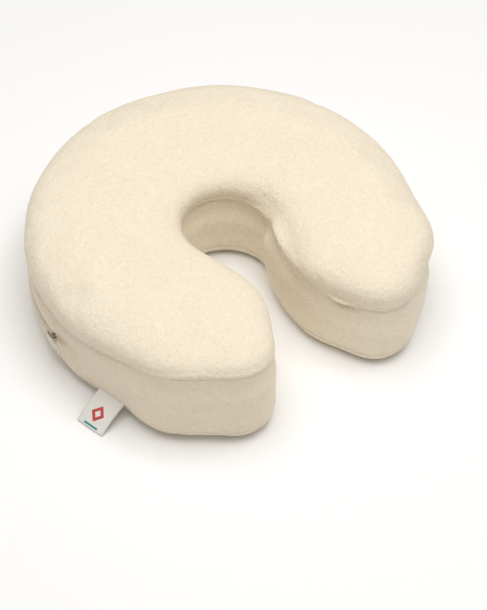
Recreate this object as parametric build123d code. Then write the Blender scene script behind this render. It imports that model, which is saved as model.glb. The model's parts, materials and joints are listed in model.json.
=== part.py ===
from build123d import *
import os
from math import atan2, degrees, sqrt

# Face cradle cushion for a massage table: a thick horseshoe of foam in a zipped cover.
# Millimetres, +Z up. The open throat faces -Y and the crown is at +Y. The origin is the
# centre of the rear hook strip's face, on the plane that the cushion rests on.

# ---- overall ----
width = 305.0             # across the back circle
arm_reach = 143.5         # the arm tips, ahead of the back circle's centre
height = 86.0             # from the hook strips' faces to the top of the cover
top_edge_radius = 18.0    # roll of the upper rim, all the way round
bottom_edge_radius = 8.0  # roll of the lower rim

# ---- the horseshoe's plan: five circles joined by their common tangents ----
corner_radius = 48.0      # outer front corner of each arm
corner_setback = 66.5     # its centre, behind the tips
corner_inset = 17.5       # from its outermost point out to the back circle's full width
tip_radius = 30.0         # front tip of each arm
tip_x = 66.0
bulge_radius = 61.0       # the arm's inner side, which narrows the throat
bulge_setback = 69.0      # its centre, behind the tips
throat_gap = 38.0         # narrowest gap between the arms
hole_radius = 35.5        # breathing hole
hole_setback = 137.0      # its centre, behind the tips

# ---- fabric cover and its foam ----
cover_thickness = 2.0     # brushed stretch fabric
foam_clearance = 0.3      # between the foam and the cover
comfort_thickness = 32.0  # soft layer, on top of the firm one
top_seam_drop = 25.0      # top seam, below the top of the cover
bottom_seam_rise = 11.0   # bottom seam, above the underside of the cover
thread_size = 0.6         # sewing thread
thread_clearance = 0.05

# ---- zip round the back ----
zip_rise = 28.0           # the coil's middle, above the underside of the cover
zip_end_angle = 89.0      # its cloth ends, to each side of the crown
slot_clearance = 0.7      # from the slider to each edge of the cover's opening
tape_width = 12.0
tape_thickness = 0.8
tape_gap = 1.2            # between the two tapes, and between the two coils
coil_width = 2.2
coil_height = 1.8
stop_length = 1.8
topstitch_inset = 2.2     # from the cover's edge to its row of thread

# ---- slider and pull ----
slider_length = 11.0
slider_width = 9.2
plate_thickness = 1.0
slider_clearance = 0.3
post_thickness = 0.6
post_length = 2.5
pin_radius = 0.7
pin_clearance = 0.2
knuckle_radius = 1.5
knuckle_width = 4.2
lug_thickness = 1.0
pull_length = 22.0
pull_width = 6.4
pull_thickness = 1.2
pull_hole_radius = 1.3
pull_hole_inset = 4.0      # its centre, from the free end

# ---- folded label, sewn into the bottom seam of the left arm ----
label_width = 25.0
label_length = 26.0
label_thickness = 0.9
label_fold_gap = 0.3      # between its two plies
label_fold_radius = 0.4    # outside of the fold
label_root_gap = 0.6      # from the seam to where it bends
label_setback = 33.0      # its middle, behind the front end of the flank
label_tip_height = 0.6    # its lower edge, above the resting plane

# ---- hook strips under the base ----
strip_thickness = 1.5
strip_length = 60.0
strip_width = 25.0
strip_corner = 3.0
arm_strip_x = 80.0
arm_strip_setback = 82.0  # their middle, behind the tips

# ---- sizes that follow ----
back_radius = width / 2
arc_y = -(back_radius + hole_radius + hole_setback - arm_reach) / 2
tips_y = arc_y - arm_reach
hole_y = tips_y + hole_setback
base_z = strip_thickness
top_seam_z = height - top_seam_drop
bottom_seam_z = base_z + bottom_seam_rise
zip_z = base_z + zip_rise
zip_slot = slider_width + 2 * slot_clearance
foam_inset = cover_thickness + foam_clearance
foam_split_z = height - foam_inset - comfort_thickness
tape_outer = back_radius - cover_thickness
tape_inner = tape_outer - tape_thickness
coil_outer = tape_outer + coil_height
plate_inner = coil_outer + slider_clearance
plate_outer = plate_inner + plate_thickness
pin_reach = plate_outer + slider_clearance + knuckle_radius
back_plate_outer = tape_inner - slider_clearance
back_plate_inner = back_plate_outer - plate_thickness
slider_half_angle = degrees(slider_length / 2 / back_radius)
stop_angle = degrees(stop_length / back_radius)
coil_end_angle = zip_end_angle - 2 * stop_angle
slider_end_angle = coil_end_angle - slider_half_angle - degrees(slider_clearance / back_radius)


# ---- helpers ----
def circles(inset=0.0):
    """The plan's circles in turn, clockwise from the crown, as centre and signed radius."""
    corner_x = back_radius - corner_inset - corner_radius
    arm = [
        (corner_x, tips_y + corner_setback, corner_radius - inset),
        (tip_x, tips_y + tip_radius, tip_radius - inset),
        (throat_gap / 2 + bulge_radius, tips_y + bulge_setback, bulge_radius - inset),
    ]
    other_arm = [(-x, y, r) for x, y, r in reversed(arm)]
    back, hole = (0, arc_y, back_radius - inset), (0, hole_y, -hole_radius - inset)
    return [back, *arm, hole, *other_arm]


def tangent_normal(first, second):
    """Outward normal of the line that leaves one circle and meets the next."""
    between = Vector(second[0] - first[0], second[1] - first[1])
    along = between.normalized()
    lean = (first[2] - second[2]) / between.length
    return along * lean + Vector(-along.Y, along.X) * sqrt(1 - lean**2)


def heading(normal):
    return degrees(atan2(normal.Y, normal.X))


def plan(inset=0.0):
    """The horseshoe's face seen from above, smaller by inset all round."""
    chain = circles(inset)
    normals = [tangent_normal(a, b) for a, b in zip(chain, chain[1:] + chain[:1])]
    edges = []
    for (x, y, radius), start, end in zip(chain, normals[-1:] + normals, normals):
        turn = heading(end) - heading(start)
        if radius > 0:
            arc = CenterArc((x, y), radius, heading(start), -(-turn % 360))
        else:
            arc = CenterArc((x, y), -radius, heading(start) + 180, turn % 360)
        edges.append(arc)
    joins = [Line(a @ 1, b @ 0) for a, b in zip(edges, edges[1:] + edges[:1])]
    return make_face(edges + joins)


def cushion_body(inset=0.0):
    """The padded horseshoe with both rims rolled."""
    tall = height - base_z - 2 * inset
    body = extrude(Pos(0, 0, base_z + inset) * plan(inset), tall)
    body = fillet(body.edges().group_by(Axis.Z)[-1], top_edge_radius - inset)
    return fillet(body.edges().group_by(Axis.Z)[0], bottom_edge_radius - inset)


def layer(low, high):
    """A slab wider than the cushion, between two heights."""
    slab = Box(3 * width, 3 * width, high - low, align=(Align.CENTER, Align.CENTER, Align.MIN))
    return Pos(0, 0, low) * slab


def ring(inner, outer, low, high, start, end):
    """Part of a ring about the back circle's centre, by angles from the crown."""
    arcs = [CenterArc((0, arc_y), r, 90 - end, end - start) for r in (inner, outer)]
    ends = [Line(arcs[0] @ t, arcs[1] @ t) for t in (0, 1)]
    return extrude(Pos(0, 0, low) * make_face(arcs + ends), high - low)


def seam_thread(z, spare=0.0):
    """A thread laid all round the cover, in the middle of the fabric."""
    middle, half = cover_thickness / 2, thread_size / 2 + spare
    outline = plan(middle - half) - plan(middle + half)
    return extrude(Pos(0, 0, z - half) * outline, 2 * half)


def zip_thread(side, spare=0.0):
    """A row of topstitching along one edge of the zip's opening."""
    z = zip_z + side * (zip_slot / 2 + topstitch_inset)
    half = thread_size / 2 + spare
    inner = back_radius - thread_size - spare
    span = zip_end_angle - degrees((1 - spare) / back_radius)
    return ring(inner, back_radius + spare, z - half, z + half, -span, span)


def spoke(angle, reach, z=0.0):
    """The place at an angle from the crown and a reach from the back circle's centre."""
    return Pos(0, arc_y, z) * Rot(0, 0, -angle) * Pos(0, reach, 0)


# ---- foam ----
def zip_relief():
    """Room in the foam for the tapes and for the slider's inner plate."""
    cut = tape_width + slider_clearance
    span = zip_end_angle + degrees(slider_clearance / back_radius)
    inner = tape_inner - slider_clearance
    relief = ring(inner, back_radius, zip_z - cut, zip_z + cut, -span, span)
    half = slider_width / 2 + slider_clearance
    inner = back_plate_inner - slider_clearance
    return relief + ring(inner, back_radius, zip_z - half, zip_z + half, -span, span)


def foam_layer(low, high):
    return (cushion_body(foam_inset) & layer(low, high)) - zip_relief()


# ---- cover ----
def cover_shell(low, high):
    """The fabric between two heights, less the seam threads' grooves."""
    shell = (cushion_body() - cushion_body(cover_thickness)) & layer(low, high)
    for z in (top_seam_z, bottom_seam_z):
        shell = shell - seam_thread(z, thread_clearance)
    return shell


def zip_zone(low, high):
    reach = 3 * cover_thickness
    inner, outer = back_radius - reach, back_radius + reach
    return ring(inner, outer, low, high, -zip_end_angle, zip_end_angle)


def zip_band(side):
    """Strip of cover above or below the zip, round the back."""
    edge = zip_z + side * zip_slot / 2
    low, high = (edge, top_seam_z) if side > 0 else (bottom_seam_z, edge)
    strip = cover_shell(low, high) & zip_zone(low, high)
    return strip - zip_thread(side, thread_clearance)


# ---- zip ----
def beside_gap(side, near, far):
    """Heights of something that starts near the coils' gap and runs away from it."""
    edges = [zip_z + side * (tape_gap / 2 + near), zip_z + side * (tape_gap / 2 + far)]
    return min(edges), max(edges)


def tape(side):
    span = zip_end_angle - degrees(slider_clearance / back_radius)
    low, high = beside_gap(side, 0, tape_width - tape_gap / 2)
    return ring(tape_inner, tape_outer, low, high, -span, span)


def coil(side):
    low, high = beside_gap(side, 0, coil_width)
    bead = ring(tape_outer, coil_outer, low, high, -coil_end_angle, coil_end_angle)
    outer_edges = bead.edges().filter_by(GeomType.CIRCLE).sort_by(SortBy.RADIUS)[-2:]
    return fillet(outer_edges, coil_height / 4)


def stop(side_low, side_high, start):
    """A crimp over the coil's end, from one height to another beside the gap."""
    low, high = zip_z + side_low, zip_z + side_high
    return ring(tape_outer, coil_outer, low, high, start, start + stop_angle)


def slider():
    """Outer and inner plates joined by a post, with a bridge for the pull."""
    angle = -slider_end_angle
    start, end = angle - slider_half_angle, angle + slider_half_angle
    half = slider_width / 2
    flange = half - tape_gap / 2 - coil_width - slider_clearance
    body = ring(plate_inner, plate_outer, zip_z - half, zip_z + half, start, end)
    body += ring(back_plate_inner, back_plate_outer, zip_z - half, zip_z + half, start, end)
    for low in (zip_z - half, zip_z + half - flange):
        inner = tape_outer + slider_clearance
        body += ring(inner, plate_inner, low, low + flange, start, end)
    post_end = start + degrees(post_length / back_radius)
    thin = post_thickness / 2
    body += ring(back_plate_outer, plate_inner, zip_z - thin, zip_z + thin, start, post_end)
    body = body.solid()
    gap = knuckle_width / 2 + pin_clearance
    lug = Box(2 * knuckle_radius, pin_reach - plate_inner, lug_thickness)
    for side in (-1, 1):
        z = zip_z + side * (gap + lug_thickness / 2)
        body += spoke(angle, (pin_reach + plate_inner) / 2, z) * lug
        body += spoke(angle, pin_reach, z) * Cylinder(knuckle_radius, lug_thickness)
    pin = Cylinder(pin_radius, 2 * gap)
    return body + spoke(angle, pin_reach, zip_z) * pin


def pull():
    """Flat tab that hangs on the slider's pin and lies along the wall, to the front."""
    hole = Pos(pull_length / 2 - pull_hole_inset, 0) * Circle(pull_hole_radius)
    plate = Rectangle(pull_length, pull_width) - hole
    plate = fillet(plate.vertices().sort_by(Axis.X)[-2:], pull_width / 3)
    tab = extrude(Pos(pull_length / 2 + knuckle_radius, 0) * plate, pull_thickness, both=False)
    tab = Pos(0, 0, -pull_thickness / 2) * tab
    tab += Pos(knuckle_radius, 0, 0) * Box(2 * knuckle_radius, knuckle_width, pull_thickness)
    barrel = Cylinder(knuckle_radius, knuckle_width)
    tab += Rot(90, 0, 0) * barrel
    tab -= Rot(90, 0, 0) * Cylinder(pin_radius + pin_clearance, 2 * knuckle_width)
    to_wall = Rot(90, 0, 0)
    place = spoke(-slider_end_angle, pin_reach, zip_z) * Rot(0, 0, 180)
    return place * to_wall * tab


# ---- label ----
def label_frame():
    """Where the label bends: x along the seam, y out along the label, z off its face."""
    chain = circles()
    out = tangent_normal(chain[-1], chain[0])
    along = Vector(out.Y, -out.X)
    corner = Vector(chain[-1][0], chain[-1][1]) + out * corner_radius
    root = corner + along * label_setback + out * label_root_gap
    droop = (bottom_seam_z - label_thickness / 2 - label_tip_height) / label_length
    down_the_label = out * sqrt(1 - droop**2) - Vector(0, 0, droop)
    origin = root + Vector(0, 0, bottom_seam_z)
    return Plane(origin=origin, x_dir=along, z_dir=along.cross(down_the_label))


def woven_label():
    """One ribbon folded back on itself, its fold at the free end."""
    ribbon = Pos(0, label_length / 2) * Box(label_width, label_length, label_thickness)
    fold = ribbon.edges().filter_by(Axis.X).group_by(Axis.Y)[-1]
    ribbon = fillet(fold, label_fold_radius)
    ply = (label_thickness - label_fold_gap) / 2
    inside = Box(2 * label_width, label_length, label_fold_gap)
    ribbon -= Pos(0, label_length / 2 - ply) * inside
    return label_frame() * ribbon


# ---- hook strips ----
def hook_strip(x, y, across, along):
    face = RectangleRounded(across, along, strip_corner)
    return extrude(Pos(x, y) * face, strip_thickness)


def build():
    """Every piece of the cushion, by name."""
    arm_y = tips_y + arm_strip_setback
    coil_side, stop_high = tape_gap / 2, tape_gap / 2 + coil_width
    left_stop, right_stop = -coil_end_angle - stop_angle, coil_end_angle
    shell_top = cover_shell(top_seam_z, height)
    band = cover_shell(bottom_seam_z, top_seam_z)
    return {
        "comfort_foam": foam_layer(foam_split_z, height),
        "base_foam": foam_layer(base_z, foam_split_z),
        "cover_top_panel": shell_top,
        "cover_side_band": band - zip_zone(bottom_seam_z, top_seam_z),
        "cover_bottom_panel": cover_shell(base_z, bottom_seam_z),
        "zip_band_upper": zip_band(1),
        "zip_band_lower": zip_band(-1),
        "thread_top_seam": seam_thread(top_seam_z),
        "thread_bottom_seam": seam_thread(bottom_seam_z),
        "thread_zip_upper": zip_thread(1),
        "thread_zip_lower": zip_thread(-1),
        "zip_tape_upper": tape(1),
        "zip_tape_lower": tape(-1),
        "zip_coil_upper": coil(1),
        "zip_coil_lower": coil(-1),
        "zip_top_stops": stop(coil_side, stop_high, left_stop)
        + stop(-stop_high, -coil_side, left_stop),
        "zip_bottom_stop": stop(-stop_high, stop_high, right_stop),
        "zip_slider": slider(),
        "zip_pull": pull(),
        "woven_label": woven_label(),
        "hook_strip_rear": hook_strip(0, 0, strip_length, strip_width),
        "hook_strip_left": hook_strip(-arm_strip_x, arm_y, strip_width, strip_length),
        "hook_strip_right": hook_strip(arm_strip_x, arm_y, strip_width, strip_length),
    }


os.makedirs("parts", exist_ok=True)
for name, piece in build().items():
    export_step(piece, f"parts/{name}.step")
    print(name, len(piece.solids()), round(piece.volume / 1000, 2), "cm3")
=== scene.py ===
# %% [markdown]
# # A face cradle cushion
# This lesson dresses a horseshoe cushion for a massage table. The frame below is the
# cushion's exact solid model: foam, cover panels, zip and label, each with its real size
# and place. Everything that follows is made around it, in the same metres and axes:
# +Z is up, the open throat faces -Y and the crown is at +Y.

# %% Load the frame
import json
import math

import bmesh
import bpy
import numpy as np
from mathutils import Matrix, Vector


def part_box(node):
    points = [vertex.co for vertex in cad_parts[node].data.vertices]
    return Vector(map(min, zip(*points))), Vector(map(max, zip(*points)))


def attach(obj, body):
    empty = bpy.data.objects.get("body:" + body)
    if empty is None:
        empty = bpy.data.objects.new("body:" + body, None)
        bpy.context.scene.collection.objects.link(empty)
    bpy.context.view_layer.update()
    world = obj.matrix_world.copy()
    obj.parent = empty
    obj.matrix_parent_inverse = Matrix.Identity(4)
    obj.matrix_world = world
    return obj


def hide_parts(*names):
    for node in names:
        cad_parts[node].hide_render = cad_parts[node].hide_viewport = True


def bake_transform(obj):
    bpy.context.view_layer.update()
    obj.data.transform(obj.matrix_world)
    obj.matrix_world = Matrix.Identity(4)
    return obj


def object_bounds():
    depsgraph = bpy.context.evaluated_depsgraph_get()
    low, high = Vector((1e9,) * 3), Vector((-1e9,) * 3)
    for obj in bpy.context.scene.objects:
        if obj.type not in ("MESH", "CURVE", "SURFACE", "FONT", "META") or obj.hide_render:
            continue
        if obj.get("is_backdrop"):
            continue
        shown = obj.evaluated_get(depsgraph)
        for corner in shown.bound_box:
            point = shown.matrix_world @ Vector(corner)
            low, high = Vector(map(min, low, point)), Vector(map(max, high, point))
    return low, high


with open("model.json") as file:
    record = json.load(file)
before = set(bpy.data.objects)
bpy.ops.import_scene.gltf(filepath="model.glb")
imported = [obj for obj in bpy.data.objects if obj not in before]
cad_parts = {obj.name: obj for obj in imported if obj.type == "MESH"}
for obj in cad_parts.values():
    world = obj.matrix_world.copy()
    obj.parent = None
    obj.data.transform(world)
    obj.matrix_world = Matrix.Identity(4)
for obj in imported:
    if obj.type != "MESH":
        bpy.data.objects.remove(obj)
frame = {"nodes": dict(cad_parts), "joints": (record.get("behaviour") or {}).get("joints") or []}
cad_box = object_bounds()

MM = 0.001
nodes = frame["nodes"]
joints = {joint["name"]: joint for joint in frame["joints"]}

# %% [markdown]
# ## Sizes read from the frame
# A maker measures before cutting. The back of the horseshoe is one circle, and its centre
# is the point that the zip's slider turns about. The seams and the zip's opening are the
# edges of the solid panels, so their heights come from the panels' own boxes.

# %% Measure the frame
back_centre = Vector(joints["zip_slider_travel"]["pos_m"])
zip_z = back_centre.z
band_low, band_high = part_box("cover_side_band")
strip_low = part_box("zip_band_upper")[0]
coil_low, coil_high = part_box("zip_coil_upper")
tape_low, tape_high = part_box("zip_tape_upper")
back_radius = (band_high.x - band_low.x) / 2
tape_radius = (tape_high.x - tape_low.x) / 2
coil_radius = (coil_high.x - coil_low.x) / 2
base_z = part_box("cover_bottom_panel")[0].z
top_seam_z = band_high.z
bottom_seam_z = band_low.z
half_slot = strip_low.z - zip_z
zip_end_angle = math.acos((strip_low.y - back_centre.y) / back_radius)
coil_end_angle = math.acos((coil_low.y - back_centre.y) / coil_radius)
print("back radius", round(back_radius / MM, 1), "mm, seams at", round(bottom_seam_z / MM, 1),
      "and", round(top_seam_z / MM, 1), "mm, zip to", round(math.degrees(zip_end_angle), 1), "deg")

# %% [markdown]
# ## The camera
# A long lens from a distance of about a metre and a half keeps a product's sides nearly
# parallel. The camera looks down at the left arm, with the opening turned to the right.

# %% Place the camera
VIEW_TURN, VIEW_RISE, VIEW_ROLL = math.radians(-35.8), math.radians(48.54), math.radians(1.02)
VIEW_DISTANCE = 1.4345
LOOK_AT = back_centre + Vector((-0.0174, -0.0547, 0.007))

towards = Vector((math.sin(VIEW_TURN) * math.cos(VIEW_RISE),
                  -math.cos(VIEW_TURN) * math.cos(VIEW_RISE), math.sin(VIEW_RISE)))
level = Vector((math.cos(VIEW_TURN), math.sin(VIEW_TURN), 0))
upright = towards.cross(level)
right = level * math.cos(VIEW_ROLL) + upright * math.sin(VIEW_ROLL)
up = upright * math.cos(VIEW_ROLL) - level * math.sin(VIEW_ROLL)
camera = bpy.data.objects.new("camera", bpy.data.cameras.new("camera"))
camera.data.lens = 109.9
camera.data.clip_start = 0.05
camera.matrix_world = Matrix.Translation(LOOK_AT + towards * VIEW_DISTANCE) @ Matrix(
    (right, up, towards)).transposed().to_4x4()
bpy.context.scene.collection.objects.link(camera)
bpy.context.scene.camera = camera
print("camera", VIEW_DISTANCE, "m away")

# %% [markdown]
# ## Helpers for meshes
# Cloth is shaped here by moving points along their normals. These few helpers read all of
# a mesh's points at once as an array, and put them back.

# %% Mesh helpers
def points_of(mesh):
    flat = np.empty(len(mesh.vertices) * 3)
    mesh.vertices.foreach_get("co", flat)
    return flat.reshape(-1, 3)


def normals_of(mesh):
    flat = np.empty(len(mesh.vertices) * 3)
    mesh.vertex_normals.foreach_get("vector", flat)
    return flat.reshape(-1, 3)


def put_points(mesh, points):
    mesh.vertices.foreach_set("co", points.ravel())
    mesh.update()


def link(name, mesh):
    """A new object at the origin that holds this mesh, with smooth shading."""
    mesh.name = name
    piece = bpy.data.objects.new(name, mesh)
    bpy.context.scene.collection.objects.link(piece)
    mesh.shade_smooth()
    return piece


def apply_modifiers(piece):
    """Swaps a piece's mesh for what its modifiers make of it, and removes them."""
    bpy.context.view_layer.update()
    graph = bpy.context.evaluated_depsgraph_get()
    made = bpy.data.meshes.new_from_object(piece.evaluated_get(graph))
    piece.modifiers.clear()
    old, piece.data = piece.data, made
    bpy.data.meshes.remove(old)
    made.name = piece.name
    return piece


def object_of(name, work):
    """A new object from finished bmesh work."""
    mesh = bpy.data.meshes.new(name)
    work.to_mesh(mesh)
    work.free()
    return link(name, mesh)


def merged_copy(name, *node_names):
    """One mesh of several nodes of the solid model, with its loose triangles joined up."""
    work = bmesh.new()
    for node_name in node_names:
        work.from_mesh(nodes[node_name].data)
    bmesh.ops.remove_doubles(work, verts=work.verts, dist=0.01 * MM)
    return object_of(name, work)


def settle(piece, stands_for=None, rides="cushion"):
    """Hides the node a piece stands for, and attaches the piece to the body it moves with."""
    if stands_for:
        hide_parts(stands_for)
    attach(piece, rides)


def bell(distance, width):
    """1 where distance is 0, falling smoothly away over width."""
    return np.exp(-((distance / width) ** 2))


def smooth_step(value):
    """0 below 0, 1 above 1, and an S-curve between."""
    value = np.clip(value, 0, 1)
    return value * value * (3 - 2 * value)


def waves(points, length, seed):
    """Smooth unevenness, about -1 to 1, with bumps about this long, the same each run."""
    drawn = np.random.RandomState(seed)
    total = np.zeros(len(points))
    for _ in range(7):
        heading = drawn.normal(size=3)
        heading /= np.linalg.norm(heading)
        stretch = 2 * math.pi / length * drawn.uniform(0.7, 1.4)
        total += np.sin(points @ heading * stretch + drawn.uniform(0, 2 * math.pi))
    return total / 3.5


print("helpers ready")

# %% [markdown]
# ## The stuffed body
# The cover is a bag of stretch fabric drawn over foam. It could be carved by hand, but a
# cloth simulation finds the swell by itself: the foam's own shape is remeshed into an even
# skin, pumped up a little from inside, and held along the lines where it is sewn. The
# swell is capped, because real foam fills a cover without ballooning it.

# %% Remesh the foam into an even skin
VOXEL = 4.0 * MM
body = merged_copy("stuffed_body", "comfort_foam", "base_foam")
remesh = body.modifiers.new("even skin", "REMESH")
remesh.mode, remesh.voxel_size, remesh.use_smooth_shade = "VOXEL", VOXEL, True
ease = body.modifiers.new("ease steps", "SMOOTH")
ease.factor, ease.iterations = 0.5, 8
apply_modifiers(body)
foam_points, foam_normals = points_of(body.data), normals_of(body.data)
print(len(foam_points), "points in the skin")

# %% [markdown]
# ## Where the top seam runs
# A sewn seam never keeps one height. On this cushion it dips along the flank, climbs onto
# the rolled rim round the tip of the left arm, and sags again across the other arm. A few
# places are listed, and the seam's height in between is their weighted mean.

# %% Describe the seams' heights
SEAM_PLACES = (  # across and along from the back circle's centre, and rise, in millimetres
    (0, 150, -5), (-110, 105, -8), (-145, 35, -9), (-152, -18, -10), (-142, -50, -3),
    (-130, -85, 6), (-112, -112, 12), (-66, -142, 12), (-40, -112, 8), (-20, -72, 5),
    (0, 30, 2), (20, -72, 9), (27, -108, -1), (50, -137, 0), (85, -135, -5),
    (128, -90, -6), (150, 0, -5), (110, 105, -5),
)
SEAM_REACH = 24 * MM
OUTER_WALL = 12 * MM


def top_seam_rise(points):
    """How far the top seam stands above its nominal height, beside each point."""
    total, weight = np.zeros(len(points)), np.full(len(points), 1e-9)
    for x, y, rise in SEAM_PLACES:
        gap = np.hypot(points[:, 0] - x * MM, points[:, 1] - back_centre.y - y * MM)
        near = bell(gap, SEAM_REACH) + 1e-6
        total += near * rise * MM
        weight += near
    return total / weight


def above_top_seam(points):
    return points[:, 2] - top_seam_z - top_seam_rise(points)


def above_bottom_seam(points):
    return points[:, 2] - bottom_seam_z - 0.5 * MM * waves(points * (1, 1, 0), 0.12, 5)


def angle_from_crown(points):
    return np.arctan2(points[:, 0], points[:, 1] - back_centre.y)


def reach_from_back(points):
    return np.hypot(points[:, 0], points[:, 1] - back_centre.y)


def on_outer_wall(points):
    """True beside the outer wall of the cushion's round back."""
    return reach_from_back(points) > back_radius - OUTER_WALL


print("seam rises from", min(p[2] for p in SEAM_PLACES), "to", max(p[2] for p in SEAM_PLACES), "mm")

# %% [markdown]
# ## Pumping the skin up
# Air pressure inside a cloth is the quickest way to a stuffed look. Each point is pinned by
# how near it lies to a sewn line, so the skin swells between the seams and along the zip
# it hardly moves. A smoothed offset could do the same job, but its swell would be just as
# thick everywhere.

# %% Pump the skin up like cloth
SWELL_CAP = 3.2 * MM
PRESSURE = 4.0
STEPS = 20
SEWN_WIDTH, ZIPPED_WIDTH = 3 * MM, 4 * MM

steepness = np.abs(foam_normals[:, 2])
held = np.maximum(bell(above_top_seam(foam_points), SEWN_WIDTH),
                  bell(above_bottom_seam(foam_points), SEWN_WIDTH))
from_slot = np.maximum(0, np.abs(foam_points[:, 2] - zip_z) - half_slot)
beside_zip = (on_outer_wall(foam_points) & (steepness < 0.75)
              & (np.abs(angle_from_crown(foam_points)) < zip_end_angle))
held = np.maximum(held, bell(from_slot, ZIPPED_WIDTH) * beside_zip)
held *= steepness < 0.9
pins = body.vertex_groups.new(name="sewn")
for index in np.flatnonzero(held > 0.05):
    pins.add([int(index)], float(held[index]), "REPLACE")
cloth = body.modifiers.new("cloth", "CLOTH")
cloth.settings.quality = 6
cloth.settings.use_pressure = True
cloth.settings.uniform_pressure_force = PRESSURE
cloth.settings.effector_weights.gravity = 0
cloth.settings.vertex_group_mass = "sewn"
cloth.settings.pin_stiffness = 1.0
cloth.collision_settings.use_collision = False
cloth.point_cache.frame_end = STEPS
for step in range(1, STEPS + 1):
    bpy.context.scene.frame_set(step)
apply_modifiers(body)
bpy.context.scene.frame_set(1)
body.vertex_groups.clear()
pushed = points_of(body.data) - foam_points
length = np.linalg.norm(pushed, axis=1)
print("raw swell", round(length.mean() / MM, 2), "mean,", round(length.max() / MM, 2), "most, mm")
cap = SWELL_CAP * (1 + 0.16 * waves(foam_points, 0.09, 11))
pushed *= (np.minimum(length, cap) / np.maximum(length, 1e-9))[:, None]
swollen = foam_points + pushed

# %% [markdown]
# ## Bridging the zip's hollow
# The foam has a shallow hollow for the zip's tapes, and real cloth is pulled straight
# across it. The wall there is set back on the back's own circle, and the underside is
# pressed flat on the plane where the hook strips are sewn.

# %% Bridge the hollow and flatten the underside
BRIDGE_HALF, BRIDGE_FADE, FLAT_ROLL = 12 * MM, 9 * MM, 1.5

from_zip = np.clip((np.abs(swollen[:, 2] - zip_z) - BRIDGE_HALF) / BRIDGE_FADE, 0, 1)
past_end = (np.abs(angle_from_crown(swollen)) - zip_end_angle) * back_radius
past_end = np.clip(past_end / BRIDGE_FADE, 0, 1)
bridged = (1 - from_zip) ** 2 * (1 - past_end) ** 2 * on_outer_wall(swollen)
out = 1 + bridged * (back_radius / np.maximum(reach_from_back(swollen), 1e-6) - 1)
swollen[:, 0] *= out
swollen[:, 1] = back_centre.y + (swollen[:, 1] - back_centre.y) * out

above_rest = (swollen[:, 2] - base_z - FLAT_ROLL * MM) / MM
sunk = above_rest < 0
swollen[sunk, 2] = base_z + (FLAT_ROLL * np.exp(above_rest[sunk] / FLAT_ROLL)) * MM
put_points(body.data, swollen)
print(int(sunk.sum()), "points pressed flat underneath")

# %% [markdown]
# ## The foam inside
# The cover is full: a soft layer of foam lies glued on a firmer one. Each is cut from the
# same swollen body, drawn in by a little more than the cloth's thickness, so that it fills
# the cover and never shows through where the seams are pressed in later.

# %% Cut the two foam layers
FOAM_DRAW_IN = 5.5 * MM
foam_split_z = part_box("comfort_foam")[0].z


def foam_layer(name, node_name, upwards):
    """The body inside the cover, cut flat where the layers are glued."""
    inner = bmesh.new()
    inner.from_mesh(body.data)
    for vert in inner.verts:
        vert.co -= vert.normal * FOAM_DRAW_IN
    glued = (0, 0, -1 if upwards else 1)
    done = bmesh.ops.bisect_plane(
        inner, geom=inner.verts[:] + inner.edges[:] + inner.faces[:],
        plane_co=(0, 0, foam_split_z), plane_no=glued, clear_outer=True)
    rim = [e for e in done["geom_cut"] if isinstance(e, bmesh.types.BMEdge)]
    bmesh.ops.triangle_fill(inner, edges=rim, use_beauty=True, normal=glued)
    bmesh.ops.recalc_face_normals(inner, faces=inner.faces)
    piece = object_of(name, inner)
    settle(piece, stands_for=node_name)
    return piece


soft_foam = foam_layer("soft_foam", "comfort_foam", True)
firm_foam = foam_layer("firm_foam", "base_foam", False)
print("foam layers", len(soft_foam.data.polygons), "and", len(firm_foam.data.polygons), "faces")

# %% [markdown]
# ## Cutting along the seams
# A crisp seam needs mesh edges that run along it. The body is leaned so that the wandering
# seam lies level, sliced with flat planes at the seam and a few millimetres to each side,
# and leaned back. The same planes later part the body into its real panels.

# %% Slice the body beside every seam
finer = body.modifiers.new("finer", "SUBSURF")
finer.levels = finer.render_levels = 1
apply_modifiers(body)
SEAM_CUTS = (-5.0, -3.2, -2.0, -1.2, -0.6, 0.0, 0.6, 1.2, 2.0, 3.2, 5.0)  # millimetres
SLOT_CUTS = (0, 0.5, 1.1, 2.2)
END_CUTS = (-1.6, -0.7, 0.0, 0.7, 1.6)


def slice_level(work, height_of, cuts, reach, keep=None):
    """Cuts the walls level with each of these heights above a wandering line."""
    points = np.array([v.co for v in work.verts])
    heights = height_of(points)
    near = np.abs(heights) < reach
    if keep is not None:
        near &= keep(points)
    for vert, height in zip(work.verts, heights):
        vert.co.z = height
    faces = [f for f in work.faces if all(near[v.index] for v in f.verts)]
    geometry = faces + list({e for f in faces for e in f.edges})
    geometry += list({v for f in faces for v in f.verts})
    for cut in cuts:
        done = bmesh.ops.bisect_plane(work, geom=geometry, dist=0.02 * MM,
                                      plane_co=(0, 0, cut), plane_no=(0, 0, 1))
        geometry = list(set(done["geom"]) | set(done["geom_cut"]))
    work.verts.index_update()
    points = np.array([v.co for v in work.verts])
    for vert, height in zip(work.verts, 2 * points[:, 2] - height_of(points)):
        vert.co.z = height


def slice_upright(work, angle, keep):
    """Cuts the outer wall upright at an angle from the crown."""
    faces = [f for f in work.faces if keep(f.calc_center_median())]
    edges = list({e for f in faces for e in f.edges})
    verts = list({v for f in faces for v in f.verts})
    across = Vector((math.cos(angle), -math.sin(angle), 0))
    bmesh.ops.bisect_plane(work, geom=verts + edges + faces, dist=0.02 * MM,
                           plane_co=back_centre, plane_no=across)


work = bmesh.new()
work.from_mesh(body.data)
cuts = [cut * MM for cut in SEAM_CUTS]
slice_level(work, above_top_seam, cuts, 9 * MM)
slice_level(work, above_bottom_seam, cuts[2:-2], 6 * MM)


def by_the_slot(points):
    return on_outer_wall(points) & (np.abs(angle_from_crown(points)) < zip_end_angle + 0.05)


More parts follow.
